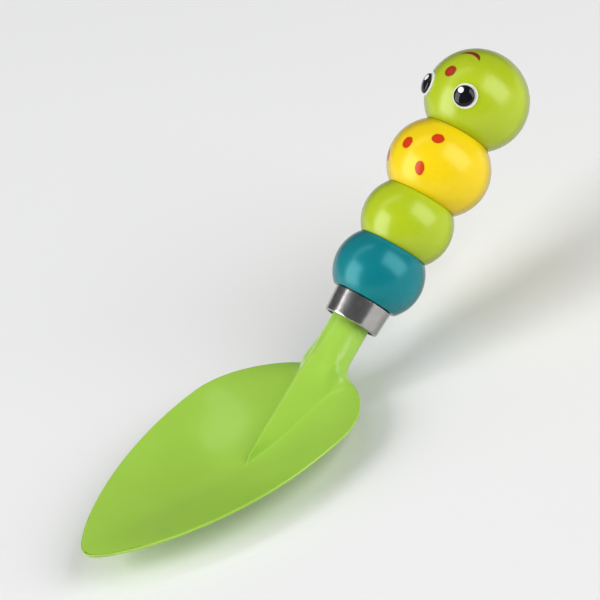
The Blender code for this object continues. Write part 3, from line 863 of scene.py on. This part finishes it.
def standing(out, long_way):
    """The turn of a frame on a surface: Z out of it, X the long way and Y across that."""
    along = (Vector(long_way) - Vector(long_way).dot(out) * out).normalized()
    return turned_to(along, out.cross(along), out)


def on_bead(middle, radius, stretch, forward, aside, long_way=(0, 0, 1)):
    """A frame that stands on a bead, on the face's side of the handle."""
    up = math.sqrt(1 - forward ** 2 - aside ** 2)
    point = Vector((-up * radius, aside * radius, forward * stretch))
    out = Vector((-up / radius, aside / radius, forward / stretch)).normalized()
    turn = standing(out, long_way)
    return HANDLE_PLACE @ Matrix.Translation((0, 0, middle)) @ Matrix.Translation(point) @ turn


def dab(tree, place, sizes, soft=0.1, ragged=0.08):
    """A mask that is 1 inside an oval of paint: its sizes are half lengths along the frame's X, Y and Z."""
    mapping = tree.nodes.new("ShaderNodeMapping")
    mapping.vector_type = "TEXTURE"
    set_up(
        mapping,
        Vector=tree.nodes.new("ShaderNodeTexCoord").outputs["Object"],
        Location=tuple(place.translation), Rotation=tuple(place.to_euler()), Scale=sizes,
    )
    length = tree.nodes.new("ShaderNodeVectorMath")
    length.operation = "LENGTH"
    feed(length.inputs[0], mapping.outputs[0])
    wobble = ranged(tree, object_noise(tree, scale=900, detail=1), -ragged, ragged)
    total = math_node(tree, "ADD", length.outputs["Value"], wobble)
    return ranged(tree, total, 1, 0, from_low=1 - soft, from_high=1 + soft)


def base_color(shader):
    """What the shader's base colour is linked to so far."""
    return shader.inputs["Base Color"].links[0].from_socket


for (forward, aside), (length, width), long_way in SPOTS:
    place = on_bead(YELLOW_AT, YELLOW_RADIUS, YELLOW_STRETCH, forward, aside, long_way)
    under = base_color(yellow_shader)
    center = (length * SPOT_CENTER_SHARE, width * SPOT_CENTER_SHARE, SPOT_DEPTH)
    inner = dab(yellow_tree, place, center, soft=0.25)
    outer = dab(yellow_tree, place, (length, width, SPOT_DEPTH))
    # Each red dab gets the same painted shade towards the outline as the bead under it.
    red = with_painted_shade(yellow_tree, mixed(yellow_tree, inner, SPOT_RIM, SPOT_RED))
    set_up(yellow_shader, Base_Color=mixed(yellow_tree, outer, under, red))

# The head: a turned wooden ball with a blind bore, lacquered yellow-green and screwed onto the rod. Its nose
# is a round dab of dark red lacquer, and its smile a crescent of a darker one.
HEAD_RADIUS = 19 * MM
HEAD_STRETCH = 18.5 * MM
HEAD_BORE_DEPTH = 16.3 * MM
HEAD_BOTTOM = YELLOW_TOP + FIT
HEAD_AT = HEAD_BOTTOM + reach(HEAD_RADIUS, HEAD_STRETCH, YELLOW_HEAD_JOINT_RADIUS)
FACE_TURN = math.radians(1.8)
FACE = Matrix.Rotation(FACE_TURN, 3, "Z")
SMILE_RED = (0.21, 0.014, 0.003)
NOSE_RED = (0.3, 0.018, 0.005)
NOSE_CENTER_RED = (0.46, 0.028, 0.008)
NOSE_RADIUS = 2.3 * MM
NOSE_CENTER_RADIUS = 0.6 * NOSE_RADIUS
NOSE_DEPTH = 6 * MM
NOSE_FORWARD = 0.12
SMILE_FORWARD = 0.655
SMILE_ASIDE = -0.06
SMILE_HALF_WIDTH = 4.8 * MM
SMILE_HALF_THICKNESS = 1 * MM
SMILE_RISE = 2.3 * MM
SMILE_REACH = 8 * MM
SMILE_DEPTH = 60 * MM

head_lacquer, head_tree, head_shader = lacquer("head_lacquer", GREEN, GREEN_DEEP, GREEN_GLOSS)
head_mesh = bead_mesh(
    "head_ball", HEAD_AT, head_lacquer,
    radius=HEAD_RADIUS, half_length=HEAD_STRETCH, top_joint=0,
    bottom_joint=crease_radius(HEAD_RADIUS, HEAD_STRETCH, YELLOW_HEAD_JOINT_RADIUS),
    bore=BORE_RADIUS, bore_end=HEAD_BORE_DEPTH + HEAD_BOTTOM - HEAD_AT, closing_radius=0,
)
head = new_piece("head_ball", head_mesh, head_lacquer, "head_lacquer", "head_bead")
soften(head)

under = base_color(head_shader)
nose = on_bead(HEAD_AT, HEAD_RADIUS, HEAD_STRETCH, NOSE_FORWARD, -math.sin(FACE_TURN))
nose_mask = dab(head_tree, nose, (NOSE_RADIUS, NOSE_RADIUS, NOSE_DEPTH))
nose_center = dab(head_tree, nose, (NOSE_CENTER_RADIUS, NOSE_CENTER_RADIUS, NOSE_DEPTH), soft=0.5)
nose_red = mixed(head_tree, nose_center, NOSE_RED, NOSE_CENTER_RED)
under = mixed(head_tree, nose_mask, under, nose_red)


def arc_radius(sagitta):
    """The radius of an arc that rises by the sagitta over the smile's width."""
    return (SMILE_HALF_WIDTH ** 2 + sagitta ** 2) / (2 * sagitta)


smile = on_bead(HEAD_AT, HEAD_RADIUS, HEAD_STRETCH, SMILE_FORWARD, SMILE_ASIDE - math.sin(FACE_TURN))
outer_radius = arc_radius(SMILE_RISE + SMILE_HALF_THICKNESS)
inner_radius = arc_radius(SMILE_RISE - SMILE_HALF_THICKNESS)
outer_place = smile @ Matrix.Translation((SMILE_HALF_THICKNESS - outer_radius, 0, 0))
inner_place = smile @ Matrix.Translation((-SMILE_HALF_THICKNESS - inner_radius, 0, 0))
inside_outer = dab(head_tree, outer_place, (outer_radius, outer_radius, SMILE_DEPTH), soft=0.02, ragged=0.01)
inside_inner = dab(
    head_tree, inner_place, (inner_radius, inner_radius, SMILE_DEPTH), soft=0.012, ragged=0.006
)
crescent = math_node(head_tree, "SUBTRACT", inside_outer, inside_inner, clamp=True)
near_smile = dab(head_tree, smile, (SMILE_REACH, SMILE_REACH, SMILE_REACH), soft=0.02, ragged=0)
smile_mask = math_node(head_tree, "MULTIPLY", crescent, near_smile)
set_up(head_shader, Base_Color=mixed(head_tree, smile_mask, under, SMILE_RED))

# The eyes: a domed black plastic button on a stem, pressed through a white disc that sits in a shallow seat
# in the head. Each stem leans against one side of its hole. A white dot is printed on each dome.
EYE_FORWARD = -0.2
EYE_ASIDE = 0.51
EYE_RADIUS = 3.8 * MM
EYE_HEIGHT = 1.6 * MM
EYE_STEM_RADIUS = 1.2 * MM
EYE_STEM_LENGTH = 6 * MM
EYE_RING_RADIUS = 4.5 * MM
EYE_RING_THICKNESS = 1 * MM
EYE_RING_ROUND = 0.25 * MM
EYE_SEAT_DEPTH = 1.2 * MM
EYE_STEPS = 64
DOME_STEPS = 16
DISC_GREY = (0.8, 0.8, 0.76)
DISC_WHITE = (0.86, 0.86, 0.84)
DOME_BLACK = (0.003, 0.003, 0.005)
DOME_GREY = (0.006, 0.006, 0.009)
DOT_WHITE = (0.9, 0.9, 0.9)
DOT_RADIUS = 1.1 * MM
DOT_DEPTH = 3 * MM
# A dot's middle and a stem's slip lie along the handle and aside, from the middle of the eye's seat.
DOTS = {"left_eye": (1.5 * MM, -1.2 * MM), "right_eye": (1.25 * MM, 2 * MM)}
STEM_SLIP = {"left_eye": (-0.25 * MM, 0.16 * MM), "right_eye": (-0.14 * MM, 0.26 * MM)}


def eye_place(side):
    """The eye's seat on the head, Z out. X points along the handle and Y aside."""
    up = math.sqrt(1 - EYE_FORWARD ** 2 - EYE_ASIDE ** 2)
    out = FACE @ Vector((-up, side * EYE_ASIDE, EYE_FORWARD))
    seat = Vector((0, 0, HEAD_AT)) + (HEAD_RADIUS - EYE_SEAT_DEPTH) * out
    return HANDLE_PLACE @ Matrix.Translation(seat) @ standing(out, (0, 0, 1))


eye_white, tree, shader = new_material("eye_white")
set_up(
    shader,
    Base_Color=mixed(tree, ranged(tree, object_noise(tree, scale=700), 0, 1), DISC_GREY, DISC_WHITE),
    Roughness=0.25,
)
eye_black, tree, shader = new_material("eye_black")
black = mixed(tree, ranged(tree, object_noise(tree, scale=500), 0, 1), DOME_BLACK, DOME_GREY)

ring_top = FIT + EYE_RING_THICKNESS
stem_hole = EYE_STEM_RADIUS + FIT
disc_profile = (
    rounded((EYE_RING_RADIUS, ring_top), EYE_RING_ROUND, (stem_hole, ring_top), (EYE_RING_RADIUS, FIT))
    + [(EYE_RING_RADIUS, FIT), (stem_hole, FIT), (stem_hole, ring_top)]
)
dome_base = ring_top + FIT
dome_profile = []
for angle in np.linspace(0, math.pi / 2, DOME_STEPS):
    dome_profile.append((EYE_RADIUS * math.sin(angle), dome_base + EYE_HEIGHT * math.cos(angle)))
dome_profile += [(EYE_STEM_RADIUS, dome_base), (EYE_STEM_RADIUS, -EYE_STEM_LENGTH), (0, -EYE_STEM_LENGTH)]
for name, side in (("left_eye", 1), ("right_eye", -1)):
    place = eye_place(side)
    disc = turned(name + "_disc", disc_profile, place, EYE_STEPS)
    new_piece(name + "_disc", disc, eye_white, "eye_white", name + "_ring")
    dome_place = place @ Matrix.Translation((*STEM_SLIP[name], 0))
    dome = turned(name + "_dome", dome_profile, dome_place, EYE_STEPS)
    new_piece(name + "_dome", dome, eye_black, "eye_black", name)
    dot = place @ Matrix.Translation((*DOTS[name], dome_base + EYE_HEIGHT / 2))
    dot_mask = dab(tree, dot, (DOT_RADIUS, DOT_RADIUS, DOT_DEPTH), soft=0.06, ragged=0.02)
    black = mixed(tree, dot_mask, black, DOT_WHITE)
set_up(shader, Base_Color=black, Roughness=0.1, Specular_IOR_Level=0.3)

# The drawn steel rod and its machined brass insert, which the beads hide. The rod is crimped in the neck,
# where its plug shows only through the seam's mouth, and screws into the insert. Both keep the CAD's shape.
STEEL_DARK = (0.42, 0.42, 0.43)
STEEL_LIGHT = (0.55, 0.55, 0.55)
BRASS_DARK = (0.55, 0.36, 0.11)
BRASS_LIGHT = (0.65, 0.46, 0.18)

steel, tree, shader = new_material("drawn_steel")
drawn = object_noise(tree, scale=1200, stretch=(1, 1, 12), turn=HANDLE_TURN)
set_up(
    shader,
    Base_Color=mixed(tree, ranged(tree, drawn, 0, 1), STEEL_DARK, STEEL_LIGHT),
    Metallic=1.0,
    Roughness=ranged(tree, drawn, 0.3, 0.42),
)
brass, tree, shader = new_material("machined_brass")
rings = object_noise(tree, scale=1500, stretch=(1, 1, 0.05), turn=HANDLE_TURN)
set_up(
    shader,
    Base_Color=mixed(tree, ranged(tree, rings, 0, 1), BRASS_DARK, BRASS_LIGHT),
    Metallic=1.0,
    Roughness=ranged(tree, rings, 0.25, 0.4),
)
for node, material in (("tang_rod", steel), ("threaded_insert", brass)):
    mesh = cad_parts[node].data
    mesh.materials.clear()
    mesh.materials.append(material)
